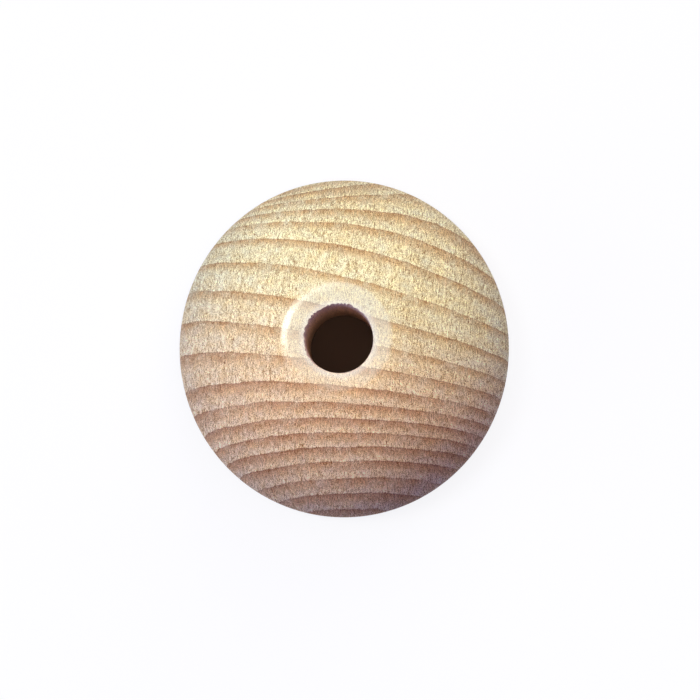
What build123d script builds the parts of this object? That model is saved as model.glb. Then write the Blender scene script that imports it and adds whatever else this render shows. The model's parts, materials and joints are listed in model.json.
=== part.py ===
from build123d import *
import os

# Half of a turned wooden bead: a dome on a flat back, drilled through along its axis.
# The fibres run along the bore and the growth rings lie across Y. Wood dries more along
# its rings than across them, so the dome has gone slightly oval and is narrower in X.
# Millimetres. The origin is the middle of the flat back, on the bore's axis, and +Z
# comes out of the dome.

# The dome
WIDTH_ALONG_RINGS = 29.65  # X
WIDTH_ACROSS_RINGS = 30.35  # Y
DOME_RISE = 15.0  # from the back to the pole that the dome would have if it had no land
RIM_RADIUS = 0.35  # sanded edge between the dome and the back

# The flat land that is faced round the hole, where the bead was parted from its rod
LAND_DIAMETER = 9.8  # across its corner with the dome, before the corner is rounded
LAND_EDGE_RADIUS = 4.0

# The bore
BORE_DIAMETER = 6.0
MOUTH_RADIUS = 0.2  # lip of the bore at the land
BACK_MOUTH_RADIUS = 0.3  # lip of the bore at the back

# The height at which the dome is as wide as the land
mean_width = (WIDTH_ALONG_RINGS + WIDTH_ACROSS_RINGS) / 2
land_height = DOME_RISE * (1 - (LAND_DIAMETER / mean_width) ** 2) ** 0.5

with BuildPart() as half_bead:
    # A round half ball as it left the lathe, drawn in along and across the rings as it dried
    Sphere(radius=DOME_RISE)
    scale(
        by=(
            WIDTH_ALONG_RINGS / (2 * DOME_RISE),
            WIDTH_ACROSS_RINGS / (2 * DOME_RISE),
            1,
        )
    )

    # The back and the land are cut flat, then their edges with the dome are sanded round
    split(bisect_by=Plane.XY, keep=Keep.TOP)
    split(bisect_by=Plane.XY.offset(land_height), keep=Keep.BOTTOM)
    edges_by_height = half_bead.edges().group_by(Axis.Z)
    fillet(edges_by_height[-1], radius=LAND_EDGE_RADIUS)
    fillet(half_bead.edges().group_by(Axis.Z)[0], radius=RIM_RADIUS)

    # The bore stays round, because its drill goes through after the bead has dried
    Hole(radius=BORE_DIAMETER / 2)
    mouths = half_bead.edges().filter_by(GeomType.CIRCLE).sort_by(Axis.Z)
    fillet(mouths[-1], radius=MOUTH_RADIUS)
    mouths = half_bead.edges().filter_by(GeomType.CIRCLE).sort_by(Axis.Z)
    fillet(mouths[0], radius=BACK_MOUTH_RADIUS)

half_bead.part.label = "half_bead"

os.makedirs("parts", exist_ok=True)
export_step(half_bead.part, "parts/half_bead.step")
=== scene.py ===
"""Looks of a turned wooden half bead, seen from above its dome.

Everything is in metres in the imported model's frame: the flat back lies on z = 0, the bore runs along Z and
the dome points up. The wood's fibres run along Z, its growth rings lie across Y, and the bark is towards +Y.
"""

import json
import math

import bpy
import numpy as np
from mathutils import Matrix, Vector


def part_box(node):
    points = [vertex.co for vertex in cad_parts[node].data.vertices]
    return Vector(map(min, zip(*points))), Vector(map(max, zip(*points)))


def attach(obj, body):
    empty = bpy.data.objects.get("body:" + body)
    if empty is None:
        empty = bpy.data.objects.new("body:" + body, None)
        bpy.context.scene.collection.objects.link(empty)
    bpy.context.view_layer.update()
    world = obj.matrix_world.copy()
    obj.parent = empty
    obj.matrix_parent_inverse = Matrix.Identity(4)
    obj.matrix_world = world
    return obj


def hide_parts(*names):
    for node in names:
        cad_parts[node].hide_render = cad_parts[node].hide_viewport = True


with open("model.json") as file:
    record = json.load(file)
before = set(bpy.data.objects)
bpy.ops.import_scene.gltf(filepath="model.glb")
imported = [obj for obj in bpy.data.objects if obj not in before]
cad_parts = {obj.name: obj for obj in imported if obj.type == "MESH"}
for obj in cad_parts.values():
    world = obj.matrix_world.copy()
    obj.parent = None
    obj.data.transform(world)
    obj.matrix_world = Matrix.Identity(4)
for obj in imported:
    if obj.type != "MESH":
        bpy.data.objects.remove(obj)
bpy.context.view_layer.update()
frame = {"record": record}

MM = 0.001

# ---------------------------------------------------------------------------------------------------------
# Sizes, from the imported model
# ---------------------------------------------------------------------------------------------------------
bead_low, bead_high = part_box("half_bead")
bore = next(mount for mount in frame["record"]["mounts"] if mount["name"] == "bore")
BORE_RADIUS = bore["dims"]["r_mm"] * MM
HEIGHT = bead_high.z

# The rounded edges, as the half bead is turned and sanded
RIM_RADIUS = 0.35 * MM
LAND_EDGE_RADIUS = 4.0 * MM
SMOOTH_LIP = 0.2 * MM  # the mouth's lip where the drill came out cleanly
TORN_LIP = 0.05 * MM  # and where it tore the wood
BACK_LIP = 0.3 * MM
LIP_START = HEIGHT - SMOOTH_LIP
TORN_DEPTH = 0.55 * MM  # how far down the wall the torn bites reach

# The dome is a ball of this radius before it dries oval. The rim's rounding takes almost nothing off its
# width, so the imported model's two widths say how oval it is.
BALL_RADIUS = 15.0 * MM
OVAL_X = bead_high.x / BALL_RADIUS
OVAL_Y = bead_high.y / BALL_RADIUS

# How far out the land and the back are flat. Their rounded edges touch the ball from the inside.
LAND_RADIUS = math.sqrt((BALL_RADIUS - LAND_EDGE_RADIUS) ** 2 - (HEIGHT - LAND_EDGE_RADIUS) ** 2)
BACK_RADIUS = math.sqrt((BALL_RADIUS - RIM_RADIUS) ** 2 - RIM_RADIUS**2)


# ---------------------------------------------------------------------------------------------------------
# The bead's surface
# ---------------------------------------------------------------------------------------------------------
AROUND = 400  # steps round the bore's axis
TURNED, DRILLED, SAWN = range(3)  # the finishes, in the order of the bead's materials


def arc(centre_r, centre_z, radius, start, end, steps):
    """Points of a circle in the half plane (r, z), from one angle to another. An angle of 0 points up and
    90 degrees points outwards: r = centre_r + radius sin(a), z = centre_z + radius cos(a)."""
    a = np.radians(np.linspace(start, end, steps))
    return np.stack([centre_r + radius * np.sin(a), centre_z + radius * np.cos(a)], axis=1)


def line(start, end, steps):
    """Points of a straight line between two points, evenly apart: start (1 - t) + end t."""
    t = np.linspace(0, 1, steps)[:, None]
    return np.array(start) * (1 - t) + np.array(end) * t


def share_between(value, low, high):
    """How far value has come from low to high, from 0 to 1."""
    return np.clip((value - low) / (high - low), 0, 1)


def torn_edge(angle):
    """How far the mouth's edge is torn back at each angle, in metres, and how torn it is there, from 0 to 1.

    The drill leaves a row of round bites with a fibre standing between each two: |sin| of a phase that runs
    unevenly round the mouth. The bites are deep where the drill came out against the fibres, towards -X and
    +Y, and fade away on the other side."""
    most_torn = math.radians(128)
    side = 0.5 + 0.5 * np.cos(angle - most_torn)
    torn = share_between(side, 0.32, 0.62)
    wander = 1.3 * np.sin(3 * angle + 0.7) + 0.9 * np.sin(7 * angle + 2.1) + 0.5 * np.sin(13 * angle)
    bites = np.abs(np.sin(20.5 * angle + wander)) ** 0.6
    size = 0.11 + 0.045 * np.sin(5 * angle + 1.0) + 0.03 * np.sin(11 * angle + 0.4)
    return torn * (0.03 + size * bites) * MM, torn


def bead_section():
    """The parts of half a section through the axis, in order, as points (r, z) before any edge is torn.

    They run up the bore's wall, over the mouth's lip, across the land, round the land's edge, down the dome
    as an arc of the ball, round the rim, across the back and round the back's lip. Each part after the wall
    leaves out its first point, where the one before it ends, and the back's lip also leaves out its last
    one, where the wall starts."""
    torn_start = (BORE_RADIUS, LIP_START - TORN_DEPTH)
    edge_z = HEIGHT - LAND_EDGE_RADIUS
    edge_turn = math.degrees(math.atan2(LAND_RADIUS, edge_z))
    rim_turn = math.degrees(math.atan2(BACK_RADIUS, RIM_RADIUS))
    return {
        "wall": line((BORE_RADIUS, BACK_LIP), torn_start, steps=20),
        "torn wall": line(torn_start, (BORE_RADIUS, LIP_START), steps=9)[1:],
        "lip": arc(BORE_RADIUS + SMOOTH_LIP, LIP_START, SMOOTH_LIP, -90, 0, steps=9)[1:],
        "land": line((BORE_RADIUS + SMOOTH_LIP, HEIGHT), (LAND_RADIUS, HEIGHT), steps=15)[1:],
        "land's edge": arc(LAND_RADIUS, edge_z, LAND_EDGE_RADIUS, 0, edge_turn, steps=16)[1:],
        "dome": arc(0, 0, BALL_RADIUS, edge_turn, rim_turn, steps=122)[1:],
        "rim": arc(BACK_RADIUS, RIM_RADIUS, RIM_RADIUS, rim_turn, 180, steps=9)[1:],
        "back": line((BACK_RADIUS, 0), (BORE_RADIUS + BACK_LIP, 0), steps=32)[1:],
        "back's lip": arc(BORE_RADIUS + BACK_LIP, BACK_LIP, BACK_LIP, -180, -90, steps=7)[1:-1],
    }


def bead_surface():
    """The whole surface as a grid of rows and angles, closed both ways like a tyre, and each row's finish.

    Each row is a point (r, z) of the section, carried round the axis: x = r cos(angle), y = r sin(angle).
    The dome is stretched along Y and narrowed along X as the wood dried, by a share that falls from 1 at the
    land's edge and the rim to 0 at the bore. Where the mouth is torn its lip is sharper, and lip, land and
    wall are pulled back by the depth of the bites, by a share that falls from 1 at the lip to 0."""
    section = bead_section()
    row_part = np.repeat(list(section), [len(points) for points in section.values()])
    r, z = np.concatenate(list(section.values())).T[:, :, None]
    angle = np.linspace(0, 2 * math.pi, AROUND, endpoint=False)

    def rows_of(*names):
        return np.isin(row_part, names)[:, None]

    in_torn_wall, in_lip, in_land = rows_of("torn wall"), rows_of("lip"), rows_of("land")
    up_wall = share_between(z, LIP_START - TORN_DEPTH, LIP_START)
    across_land = share_between(r, BORE_RADIUS + SMOOTH_LIP, LAND_RADIUS)
    across_back = share_between(r, BORE_RADIUS + BACK_LIP, BACK_RADIUS)

    bites, torn = torn_edge(angle)
    lost = (SMOOTH_LIP - TORN_LIP) * torn  # how much smaller the lip is
    narrowed = [-(r - BORE_RADIUS) * lost / SMOOTH_LIP, -lost * (1 - across_land)]
    raised = [(HEIGHT - z) * lost / SMOOTH_LIP, lost * up_wall]
    pull = np.select([in_torn_wall, in_lip, in_land], [up_wall**2, 1.0, (1 - across_land) ** 3], 0.0)
    torn_r = r + np.select([in_lip, in_land], narrowed, 0.0) + bites * pull
    torn_z = z + np.select([in_lip, in_torn_wall], raised, 0.0)

    in_dome, in_back = rows_of("land's edge", "dome", "rim"), rows_of("back")
    oval = np.select([in_land, in_dome, in_back], [across_land, 1.0, across_back], 0.0)
    x = torn_r * np.cos(angle) * (1 + oval * (OVAL_X - 1))
    y = torn_r * np.sin(angle) * (1 + oval * (OVAL_Y - 1))
    drilled = np.isin(row_part, ["wall", "torn wall"])
    sawn = np.isin(row_part, ["back", "back's lip"])
    return np.stack([x, y, torn_z], axis=2), np.select([drilled, sawn], [DRILLED, SAWN], TURNED)


def grid_mesh(name, points, finish):
    """A mesh from a grid of points that closes both ways. Each face joins a row to the next one and an angle
    to the next one, and its corners are in the order that points it outwards."""
    rows, around = points.shape[:2]
    index = np.arange(rows * around).reshape(rows, around)
    above = np.roll(index, -1, axis=0)
    beside = np.roll(index, -1, axis=1)
    corner = np.roll(above, -1, axis=1)
    faces = np.stack([index, above, corner, beside], axis=2).reshape(-1, 4)
    mesh = bpy.data.meshes.new(name)
    mesh.from_pydata(points.reshape(-1, 3), [], faces)
    mesh.polygons.foreach_set("material_index", np.repeat(finish, around).astype(np.int32))
    mesh.polygons.foreach_set("use_smooth", np.ones(len(faces), dtype=bool))
    mesh.update()
    return mesh


# ---------------------------------------------------------------------------------------------------------
# Shader helpers
# ---------------------------------------------------------------------------------------------------------
def srgb(red, green, blue):
    """A colour written as 0 to 255 on a screen, as the linear numbers that shaders use."""
    values = np.array([red, green, blue]) / 255
    linear = np.where(values <= 0.04045, values / 12.92, ((values + 0.055) / 1.055) ** 2.4)
    return (*linear.tolist(), 1.0)


class Nodes:
    """A short way to write a node tree: add makes a node, feed fills a socket with another socket or with a
    value, and each other method adds what it needs and gives back the socket or sockets it puts out."""

    def __init__(self, tree):
        self.tree = tree

    def add(self, kind, **settings):
        made = self.tree.nodes.new(kind)
        for name, value in settings.items():
            setattr(made, name, value)
        return made

    def feed(self, socket, value):
        if isinstance(value, bpy.types.NodeSocket):
            self.tree.links.new(value, socket)
        else:
            socket.default_value = value

    def math(self, operation, *values, clamp=False):
        made = self.add("ShaderNodeMath", operation=operation, use_clamp=clamp)
        for socket, value in zip(made.inputs, values):
            self.feed(socket, value)
        return made.outputs[0]

    def total(self, *values):
        found = values[0]
        for value in values[1:]:
            found = self.math("ADD", found, value)
        return found

    def product(self, *values):
        found = values[0]
        for value in values[1:]:
            found = self.math("MULTIPLY", found, value)
        return found

    def ramp(self, value, low, high, to_low=0.0, to_high=1.0, smooth=True):
        """value from low to high, carried to to_low and to_high and held there beyond."""
        made = self.add("ShaderNodeMapRange", interpolation_type="SMOOTHSTEP" if smooth else "LINEAR")
        for socket, number in zip(made.inputs, (value, low, high, to_low, to_high)):
            self.feed(socket, number)
        return made.outputs[0]

    def vector(self, x, y, z):
        made = self.add("ShaderNodeCombineXYZ")
        for socket, value in zip(made.inputs, (x, y, z)):
            self.feed(socket, value)
        return made.outputs[0]

    def object_place(self):
        """The point's own x, y and z in the piece, in metres."""
        split = self.add("ShaderNodeSeparateXYZ")
        self.feed(split.inputs[0], self.add("ShaderNodeTexCoord").outputs["Object"])
        return split.outputs["X"], split.outputs["Y"], split.outputs["Z"]

    def off_axis(self, x, y):
        """How far the point x, y lies from the Z axis."""
        made = self.add("ShaderNodeVectorMath", operation="LENGTH")
        self.feed(made.inputs[0], self.vector(x, y, 0.0))
        return made.outputs["Value"]

    def noise(self, place, rate, detail=2.0, roughness=0.5):
        """Smooth noise, from about -1 to 1. place is an x, y and z, and rate is about how many features the
        noise has in one unit of each."""
        made = self.add("ShaderNodeTexNoise")
        self.feed(made.inputs["Vector"], self.vector(*(self.product(*pair) for pair in zip(place, rate))))
        made.inputs["Scale"].default_value = 1.0
        made.inputs["Detail"].default_value = detail
        made.inputs["Roughness"].default_value = roughness
        return self.math("MULTIPLY_ADD", made.outputs["Fac"], 2.0, -1.0)

    def mix(self, share, a, b, blend="MIX"):
        """Colour a carried to colour b by share. The sockets are found by identifier, because the node has
        four of each name, one for each kind of data."""
        made = self.add("ShaderNodeMix", data_type="RGBA", blend_type=blend)
        sockets = {socket.identifier: socket for socket in (*made.inputs, *made.outputs)}
        self.feed(sockets["Factor_Float"], share)
        self.feed(sockets["A_Color"], a)
        self.feed(sockets["B_Color"], b)
        return sockets["Result_Color"]

    def tinted(self, colour, pattern, tint, level=1.0):
        """colour with its red, green and blue each multiplied by level + its own tint times pattern."""
        shades = [self.math("MULTIPLY_ADD", pattern, amount, level) for amount in tint]
        return self.mix(1.0, colour, self.vector(*shades), blend="MULTIPLY")


def new_group(name, inputs, outputs):
    """An empty node group with number inputs, as name and value, and outputs, as name and socket type."""
    tree = bpy.data.node_groups.new(name, "ShaderNodeTree")
    for label, value in inputs:
        socket = tree.interface.new_socket(label, in_out="INPUT", socket_type="NodeSocketFloat")
        socket.default_value = value
    for label, kind in outputs:
        tree.interface.new_socket(label, in_out="OUTPUT", socket_type=kind)
    nodes = Nodes(tree)
    given = nodes.add("NodeGroupInput").outputs
    made = nodes.add("NodeGroupOutput").inputs
    return tree, nodes, given, made


def empty_nodes(owner):
    """The empty node tree of a new material or world."""
    owner.use_nodes = True
    owner.node_tree.nodes.clear()
    return Nodes(owner.node_tree)


# ---------------------------------------------------------------------------------------------------------
# The wood
# ---------------------------------------------------------------------------------------------------------
# Widths of the growth rings in millimetres, from the bark side of the bead to its heart side
RING_WIDTHS = (
    1.1, 1.1, 1.1, 1.3, 1.4, 2.1, 2.8, 3.0, 2.6, 2.2, 2.0,
    1.5, 1.3, 1.2, 1.2, 1.2, 1.4, 1.2, 1.2, 1.2, 1.2, 1.2,
)
FIRST_LINE = 16.2  # how far out the outermost ring's outer line lies on the Y axis, in millimetres
RING_REACH = 20.0  # half of the stretch of Y that the ring curves cover, in millimetres
RING_STEP = 0.05  # how far from a ring's line its width starts to change to the next one's, in millimetres
RING_LEAN = (0.2, 0.02, -0.0016, -0.00013)  # how steeply the rings lean: a cubic of y, its constant first
RING_BOW = 0.005  # how much the rings bow, for each square of x

LINE_FADE = 0.14  # how fast the dark line at a ring's edge fades inwards, in millimetres
BAND_EVEN = 0.3  # the brown band of late wood is even up to here, in millimetres
BAND_END = 1.1  # and gone from here on
BAND_DEPTH = 0.66  # how much of the late wood's colour the band has
TAIL_DEPTH = 0.16  # and the tail that crosses the whole ring

# Colours on the bark side, and on the heart side, which is pinker
EARLY_WOOD = (srgb(234, 219, 160), srgb(244, 208, 152))
LATE_WOOD = (srgb(198, 158, 100), srgb(194, 137, 88))
RING_LINE = (srgb(160, 112, 66), srgb(140, 84, 60))

# How much a pattern changes red, green and blue. The grain's dark flecks are browner than the wood round
# them, and the mottle is warmer where it is above 0.
GRAIN_TINT = (0.78, 1.0, 1.22)
MOTTLE_TINT = (0.06, -0.05, -0.28)


def stepped_curve(nodes, across, stops):
    """A line graph of across, drawn through stops: a place in millimetres and a value from 0 to 1 each."""
    curve = nodes.add("ShaderNodeFloatCurve")
    nodes.feed(curve.inputs["Value"], nodes.ramp(across, -RING_REACH, RING_REACH, smooth=False))
    points = curve.mapping.curves[0].points
    places = [((y + RING_REACH) / (2 * RING_REACH), value) for y, value in stops]
    points[0].location, points[-1].location = places[0], places[-1]
    for place in places[1:-1]:
        points.new(*place)
    for point in points:
        point.handle_type = "VECTOR"
    curve.mapping.extend = "HORIZONTAL"
    curve.mapping.update()
    return curve.outputs[0]


def growth_rings(nodes, across):
    """The ring's number, and how far inside the ring's outer line this place lies: in millimetres, and as a
    share of the ring's width. One graph climbs by one over each ring, so its whole part numbers the rings
    and the rest is the share from the inner line. The other graph holds each ring's width."""
    lines = FIRST_LINE - np.concatenate([[0.0], np.cumsum(RING_WIDTHS)])
    rings = len(RING_WIDTHS)
    counted = [(y, 1 - k / rings) for k, y in enumerate(lines)][::-1]
    count = nodes.product(stepped_curve(nodes, across, counted), float(rings))
    widest = max(RING_WIDTHS)
    widths = []
    for inner, outer, width in zip(lines[:0:-1], lines[-2::-1], RING_WIDTHS[::-1]):
        widths += [(inner + RING_STEP, width / widest), (outer - RING_STEP, width / widest)]
    width = nodes.product(stepped_curve(nodes, across, widths), widest)
    share = nodes.math("SUBTRACT", 1.0, nodes.math("FRACT", count))
    return nodes.math("FLOOR", count), nodes.product(share, width), share


def across_rings(nodes, wood, rays):
    """Where a point lies across the rings, in millimetres: y, plus the lean times x, plus the bow times the
    square of x, plus some unevenness. The lean, a cubic of y, takes the rings down to the right, most of all
    a little above the middle. Uneven growth bends them on two scales, and the rays comb them."""
    x, y, _ = wood
    lean = nodes.total(
        RING_LEAN[0],
        nodes.product(y, RING_LEAN[1]),
        nodes.product(y, y, RING_LEAN[2]),
        nodes.product(y, y, y, RING_LEAN[3]),
    )
    return nodes.total(
        y,
        nodes.product(x, lean),
        nodes.product(x, x, RING_BOW),
        nodes.product(nodes.noise(wood, (0.45, 0.30, 0.05), 1.0), 0.12),
        nodes.product(nodes.noise(wood, (2.2, 0.5, 0.15), 3.0, 0.65), 0.09),
        nodes.product(rays, 0.12),
    )


def wood_figure():
    """The figure of the solid wood, read at each point of its surface. Each growth ring is pale, and ends
    towards the bark in a brown band of late wood with a thin darker line at its edge. Rays cross the rings
    as fine pale and dark threads, and pores speckle the end grain and run as short streaks along the fibres
    on the sides."""
    tree, nodes, given, made = new_group(
        "Wood figure",
        [("Speckle", 1.0)],
        [("Colour", "NodeSocketColor"), ("Height", "NodeSocketFloat"), ("Pores", "NodeSocketFloat")],
    )
    # The point's place in millimetres, with the fibres leaning a little from the bore's axis
    x, y, z = (nodes.product(length, 1 / MM) for length in nodes.object_place())
    x = nodes.math("MULTIPLY_ADD", z, 0.02, x)
    y = nodes.math("MULTIPLY_ADD", z, -0.03, y)
    wood = (x, y, z)

    # Rays run across the rings and are tall along the fibres
    rays = nodes.noise((nodes.math("MULTIPLY_ADD", y, -0.05, x), y, z), (3.6, 0.25, 0.5), 3.0, 0.75)
    across = across_rings(nodes, wood, rays)
    ring, inside, share = growth_rings(nodes, across)
    mottle = nodes.noise(wood, (0.9, 1.1, 0.15), 2.0, 0.6)

    # How strongly late wood shows: some rings more than others, more in some stretches of a ring, and the
    # mottle and the rays break it up
    chance = nodes.add("ShaderNodeTexWhiteNoise", noise_dimensions="1D")
    nodes.feed(chance.inputs["W"], ring)
    stretches = nodes.noise(wood, (0.16, 0.5, 0.1))
    strength = nodes.math(
        "ADD",
        nodes.ramp(chance.outputs["Value"], 0, 1, 0.7, 1.0, smooth=False),
        nodes.total(nodes.product(stretches, 0.6), nodes.product(mottle, 0.7), rays),
        clamp=True,
    )

    # The dark line fades inwards, and so does the band beside it, whose inner side is ragged. A faint tail
    # of the band crosses the whole ring.
    fading = nodes.math("EXPONENT", nodes.product(inside, -1 / LINE_FADE))
    dark_line = nodes.product(fading, strength)
    ragged = nodes.total(inside, nodes.product(mottle, 0.5), nodes.product(rays, -0.3))
    band = nodes.ramp(ragged, BAND_EVEN, BAND_END, BAND_DEPTH, 0.0)
    tail = nodes.ramp(share, 0.0, 1.0, TAIL_DEPTH, 0.0, smooth=False)
    late = nodes.product(nodes.total(band, tail), strength)

    # Pores and the ends of fibres are fine across the wood and long along the fibres
    pores = nodes.product(nodes.noise(wood, (17.0, 13.0, 1.0), 1.0, 0.8), given["Speckle"])
    threads = nodes.product(nodes.noise(wood, (13.0, 2.4, 0.5), 1.0, 0.7), given["Speckle"])
    clouds = nodes.noise(wood, (0.22, 0.3, 0.05))
    grain = nodes.total(
        nodes.product(pores, 1.8),
        threads,
        nodes.product(rays, 0.55),
        nodes.product(clouds, 0.12),
    )

    heart = nodes.ramp(across, 6.0, -8.0)
    colour = nodes.mix(late, nodes.mix(heart, *EARLY_WOOD), nodes.mix(heart, *LATE_WOOD))
    colour = nodes.mix(nodes.product(dark_line, 0.6), colour, nodes.mix(heart, *RING_LINE))
    colour = nodes.tinted(colour, grain, GRAIN_TINT)
    colour = nodes.tinted(colour, mottle, MOTTLE_TINT)

    raised = nodes.total(nodes.product(pores, 0.5), nodes.product(rays, 0.25))
    nodes.feed(made["Colour"], colour)
    nodes.feed(made["Height"], nodes.total(raised, nodes.product(dark_line, -0.3)))
    nodes.feed(made["Pores"], pores)
    return tree


def new_material(name):
    material = bpy.data.materials.new(name)
    nodes = empty_nodes(material)
    shader = nodes.add("ShaderNodeBsdfPrincipled")
    output = nodes.add("ShaderNodeOutputMaterial")
    nodes.feed(output.inputs["Surface"], shader.outputs[0])
    return material, nodes, shader


def figure_in(nodes, tree, speckle=1.0):
    """The wood's figure placed in a material, with its pores as strong as the finish shows them."""
    placed = nodes.add("ShaderNodeGroup", node_tree=tree)
    placed.inputs["Speckle"].default_value = speckle
    return placed.outputs


def bump(nodes, shader, height, depth):
    made = nodes.add("ShaderNodeBump")
    made.inputs["Strength"].default_value = 1.0
    made.inputs["Distance"].default_value = depth
    nodes.feed(made.inputs["Height"], height)
    nodes.feed(shader.inputs["Normal"], made.outputs["Normal"])


def turned_wood(tree):
    """The dome and its land. The dome is sanded. The land is painted pale as a painted sheen, a little
    further down towards +Y and palest round the mouth. The land's rounded edge is polished, most of all
    towards -X and +Y."""
    material, nodes, shader = new_material("turned_wood")
    figure = figure_in(nodes, tree)
    x, y, z = nodes.object_place()
    # How far the point lies below the land, in millimetres
    below = nodes.math("SUBTRACT", HEIGHT / MM, nodes.product(z, 1 / MM))

    # Painted sheen: the flat land is painted pale, reaching a little further down towards +Y
    painted_sheen = nodes.ramp(nodes.math("MULTIPLY_ADD", y, -0.008 / MM, below), 0.07, 0.0)
    colour = nodes.mix(nodes.product(painted_sheen, 0.34), figure["Colour"], srgb(244, 245, 210))
    # Painted sheen round the mouth: the land is painted palest right by the bore
    painted_mouth_sheen = nodes.ramp(nodes.off_axis(x, y), BORE_RADIUS + 0.7 * MM, BORE_RADIUS + 0.2 * MM)
    colour = nodes.mix(nodes.product(painted_mouth_sheen, 0.35), colour, srgb(252, 249, 222))
    nodes.feed(shader.inputs["Base Color"], colour)
    nodes.feed(shader.inputs["Roughness"], nodes.ramp(figure["Pores"], -0.5, 0.5, 0.62, 0.5, smooth=False))

    on_edge = nodes.product(nodes.ramp(below, 0.2, 0.1), nodes.ramp(below, 0.0, 0.035, 0.15, 1.0))
    polished_side = nodes.ramp(nodes.math("MULTIPLY_ADD", y, -0.5, x), 0.0, -4.5 * MM, 0.1, 1.0)
    nodes.feed(shader.inputs["Coat Weight"], nodes.product(on_edge, polished_side))
    shader.inputs["Coat Roughness"].default_value = 0.26
    shader.inputs["Coat IOR"].default_value = 1.8
    shader.inputs["Specular IOR Level"].default_value = 0.05
    bump(nodes, shader, figure["Height"], 0.02 * MM)
    return material


def drilled_wood(tree):
    """The bore's wall. The drill has rubbed it to an almost even pinkish brown, through which the wood's
    figure shows faintly. Painted shade makes it darker with depth, and the drill's turns have left fine
    rings."""
    material, nodes, shader = new_material("drilled_wood")
    figure = figure_in(nodes, tree, speckle=1.6)
    z = nodes.object_place()[2]
    # Painted shade: the wall is painted darker further down the bore
    deep = nodes.ramp(z, HEIGHT - 5.0 * MM, HEIGHT - 13.0 * MM)
    painted_bore_shade = nodes.mix(deep, srgb(255, 222, 224), srgb(170, 140, 128))
    shaded_wall = nodes.mix(1.0, figure["Colour"], painted_bore_shade, blend="MULTIPLY")
    nodes.feed(shader.inputs["Base Color"], nodes.mix(0.75, shaded_wall, srgb(204, 176, 158)))
    shader.inputs["Roughness"].default_value = 0.6
    turn_height = 0.3 * MM
    turns = nodes.math("SINE", nodes.product(z, 2 * math.pi / turn_height))
    bump(nodes, shader, nodes.total(figure["Height"], nodes.product(turns, 0.3)), 0.03 * MM)
    return material


def sawn_wood(tree):
    """The back: sawn across the fibres, and sanded flat one way, which leaves long fine scratches."""
    material, nodes, shader = new_material("sawn_wood")
    figure = figure_in(nodes, tree, speckle=1.3)
    x, y, _ = nodes.object_place()
    slant = nodes.math("MULTIPLY_ADD", x, 0.35, y)
    scratches = nodes.noise((slant, x, 0.0), (6 / MM, 0.12 / MM, 0.0))
    worn = nodes.tinted(figure["Colour"], scratches, (0.06, 0.06, 0.06), level=0.97)
    nodes.feed(shader.inputs["Base Color"], worn)
    shader.inputs["Roughness"].default_value = 0.6
    bump(nodes, shader, nodes.total(figure["Height"], nodes.product(scratches, 0.6)), 0.03 * MM)
    return material


def make_bead():
    figure = wood_figure()
    points, finish = bead_surface()
    mesh = grid_mesh("bead", points, finish)
    for material in (turned_wood(figure), drilled_wood(figure), sawn_wood(figure)):
        mesh.materials.append(material)
    bead = bpy.data.objects.new("turned_half_bead", mesh)
    bpy.context.scene.collection.objects.link(bead)
    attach(bead, "root")
    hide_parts("half_bead")


# ---------------------------------------------------------------------------------------------------------
# Floor, light and camera
# ---------------------------------------------------------------------------------------------------------
WHITE = (1.0, 1.0, 1.0, 1.0)
FILL = (0.03, 0.03, 0.42, 1.0)


def background_share(nodes):
    """1 for the rays that show the background: those from the camera, and mirrored or refracted ones."""
    path = nodes.add("ShaderNodeLightPath").outputs
    seen = nodes.math("MAXIMUM", path["Is Camera Ray"], path["Is Glossy Ray"])
    return nodes.math("MAXIMUM", seen, path["Is Transmission Ray"])


def make_floor():
    """A wide pale floor. It is seen as white, keeps a soft shadow near the bead, and throws little light
    back up. Under the bead it is painted dark brown as painted shade, so no white shows through the bore."""
    half = 3.0
    mesh = bpy.data.meshes.new("floor")
    corners = [(-half, -half, 0), (half, -half, 0), (half, half, 0), (-half, half, 0)]
    mesh.from_pydata(corners, [], [(0, 1, 2, 3)])
    floor = bpy.data.objects.new("floor", mesh)
    floor.location.z = -0.01 * MM
    bpy.context.scene.collection.objects.link(floor)

    material = bpy.data.materials.new("floor")
    nodes = empty_nodes(material)
    x, y, _ = nodes.object_place()
    away = nodes.off_axis(x, y)
    outside = nodes.math("GREATER_THAN", away, BALL_RADIUS / 2)
    seen = background_share(nodes)
    pale = nodes.mix(seen, srgb(48, 45, 80), srgb(250, 250, 250))
    shader = nodes.add("ShaderNodeBsdfPrincipled")
    shader.inputs["Roughness"].default_value = 0.9
    shader.inputs["Specular IOR Level"].default_value = 0.0
    # Painted shade: under the bead the floor is painted dark brown, which shows through the bore
    nodes.feed(shader.inputs["Base Color"], nodes.mix(outside, srgb(110, 91, 82), pale))

    # The shadow shows in the share of the floor that doesn't glow: 15% near the bead, and none far from it
    glow = nodes.add("ShaderNodeEmission")
    glowing = nodes.ramp(away, 0.03, 0.15, 0.85, 1.0)
    mixed = nodes.add("ShaderNodeMixShader")
    nodes.feed(mixed.inputs[0], nodes.product(seen, outside, glowing))
    nodes.feed(mixed.inputs[1], shader.outputs[0])
    nodes.feed(mixed.inputs[2], glow.outputs[0])
    output = nodes.add("ShaderNodeOutputMaterial")
    nodes.feed(output.inputs["Surface"], mixed.outputs[0])
    mesh.materials.append(material)


def make_world():
    """A dim blue fill from all round. It shows as white where it is seen."""
    world = bpy.data.worlds.new("studio")
    bpy.context.scene.world = world
    nodes = empty_nodes(world)
    background = nodes.add("ShaderNodeBackground")
    nodes.feed(background.inputs["Color"], nodes.mix(background_share(nodes), FILL, WHITE))
    output = nodes.add("ShaderNodeOutputWorld")
    nodes.feed(output.inputs["Surface"], background.outputs[0])


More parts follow.
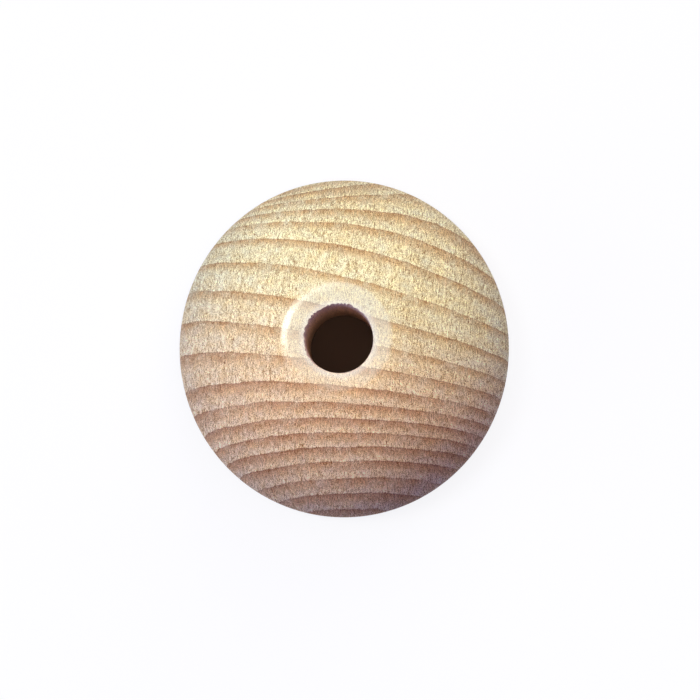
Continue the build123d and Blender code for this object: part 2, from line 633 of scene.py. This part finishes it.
def make_lamp(name, lean, turn, distance, width, watts, colour):
    """A round soft lamp that points at the bead's middle. lean is its angle from straight up, and turn is
    the way it leans, from +Y towards -X, in degrees."""
    lean, turn = math.radians(lean), math.radians(turn)
    aim = Vector((-math.sin(lean) * math.sin(turn), math.sin(lean) * math.cos(turn), math.cos(lean)))
    data = bpy.data.lights.new(name, "AREA")
    data.shape = "DISK"
    data.size = width
    data.energy = watts
    data.color = colour
    lamp = bpy.data.objects.new(name, data)
    lamp.location = Vector((0, 0, HEIGHT / 2)) + aim * distance
    lamp.rotation_mode = "QUATERNION"
    lamp.rotation_quaternion = (-aim).to_track_quat("-Z", "Y")
    lamp.visible_camera = False
    bpy.context.scene.collection.objects.link(lamp)


def make_camera():
    """Looks almost straight down, from a little to the lower right, so the mouth shows up and to the left of
    the bead's middle. +Y is up in the picture."""
    lean, turn = math.radians(4.06), math.radians(27)
    distance = 0.6
    bead_share = 0.4762  # the bead's half width, as a share of the picture's half width
    aim_right, aim_up = 0.51 * MM, -0.08 * MM
    back = Vector((math.sin(lean) * math.sin(turn), -math.sin(lean) * math.cos(turn), math.cos(lean)))
    up = (Vector((0, 1, 0)) - back * back.y).normalized()
    right = up.cross(back)
    data = bpy.data.cameras.new("camera")
    data.sensor_width = 36.0
    data.lens = bead_share * (data.sensor_width / 2) / math.tan(math.asin(BALL_RADIUS / distance))
    camera = bpy.data.objects.new("camera", data)
    place = right * aim_right + up * aim_up + back * distance
    turned = Matrix((right, up, back)).transposed().to_4x4()
    camera.matrix_world = Matrix.Translation(place) @ turned
    bpy.context.scene.collection.objects.link(camera)
    bpy.context.scene.camera = camera


make_bead()
make_floor()
make_world()
make_lamp("key", lean=14, turn=-62, distance=0.8, width=1.0, watts=3.9, colour=(1.0, 0.90, 0.50))
make_lamp("edge", lean=26, turn=68, distance=0.8, width=0.2, watts=1.85, colour=(0.96, 1.0, 0.88))
make_lamp("sky_right", lean=68, turn=-18, distance=0.9, width=0.9, watts=6.0, colour=(0.84, 0.86, 1.0))
make_lamp("sky_left", lean=74, turn=102, distance=0.9, width=0.9, watts=7.0, colour=(0.56, 0.65, 1.0))
make_camera()
bpy.context.scene.view_settings.view_transform = "Standard"
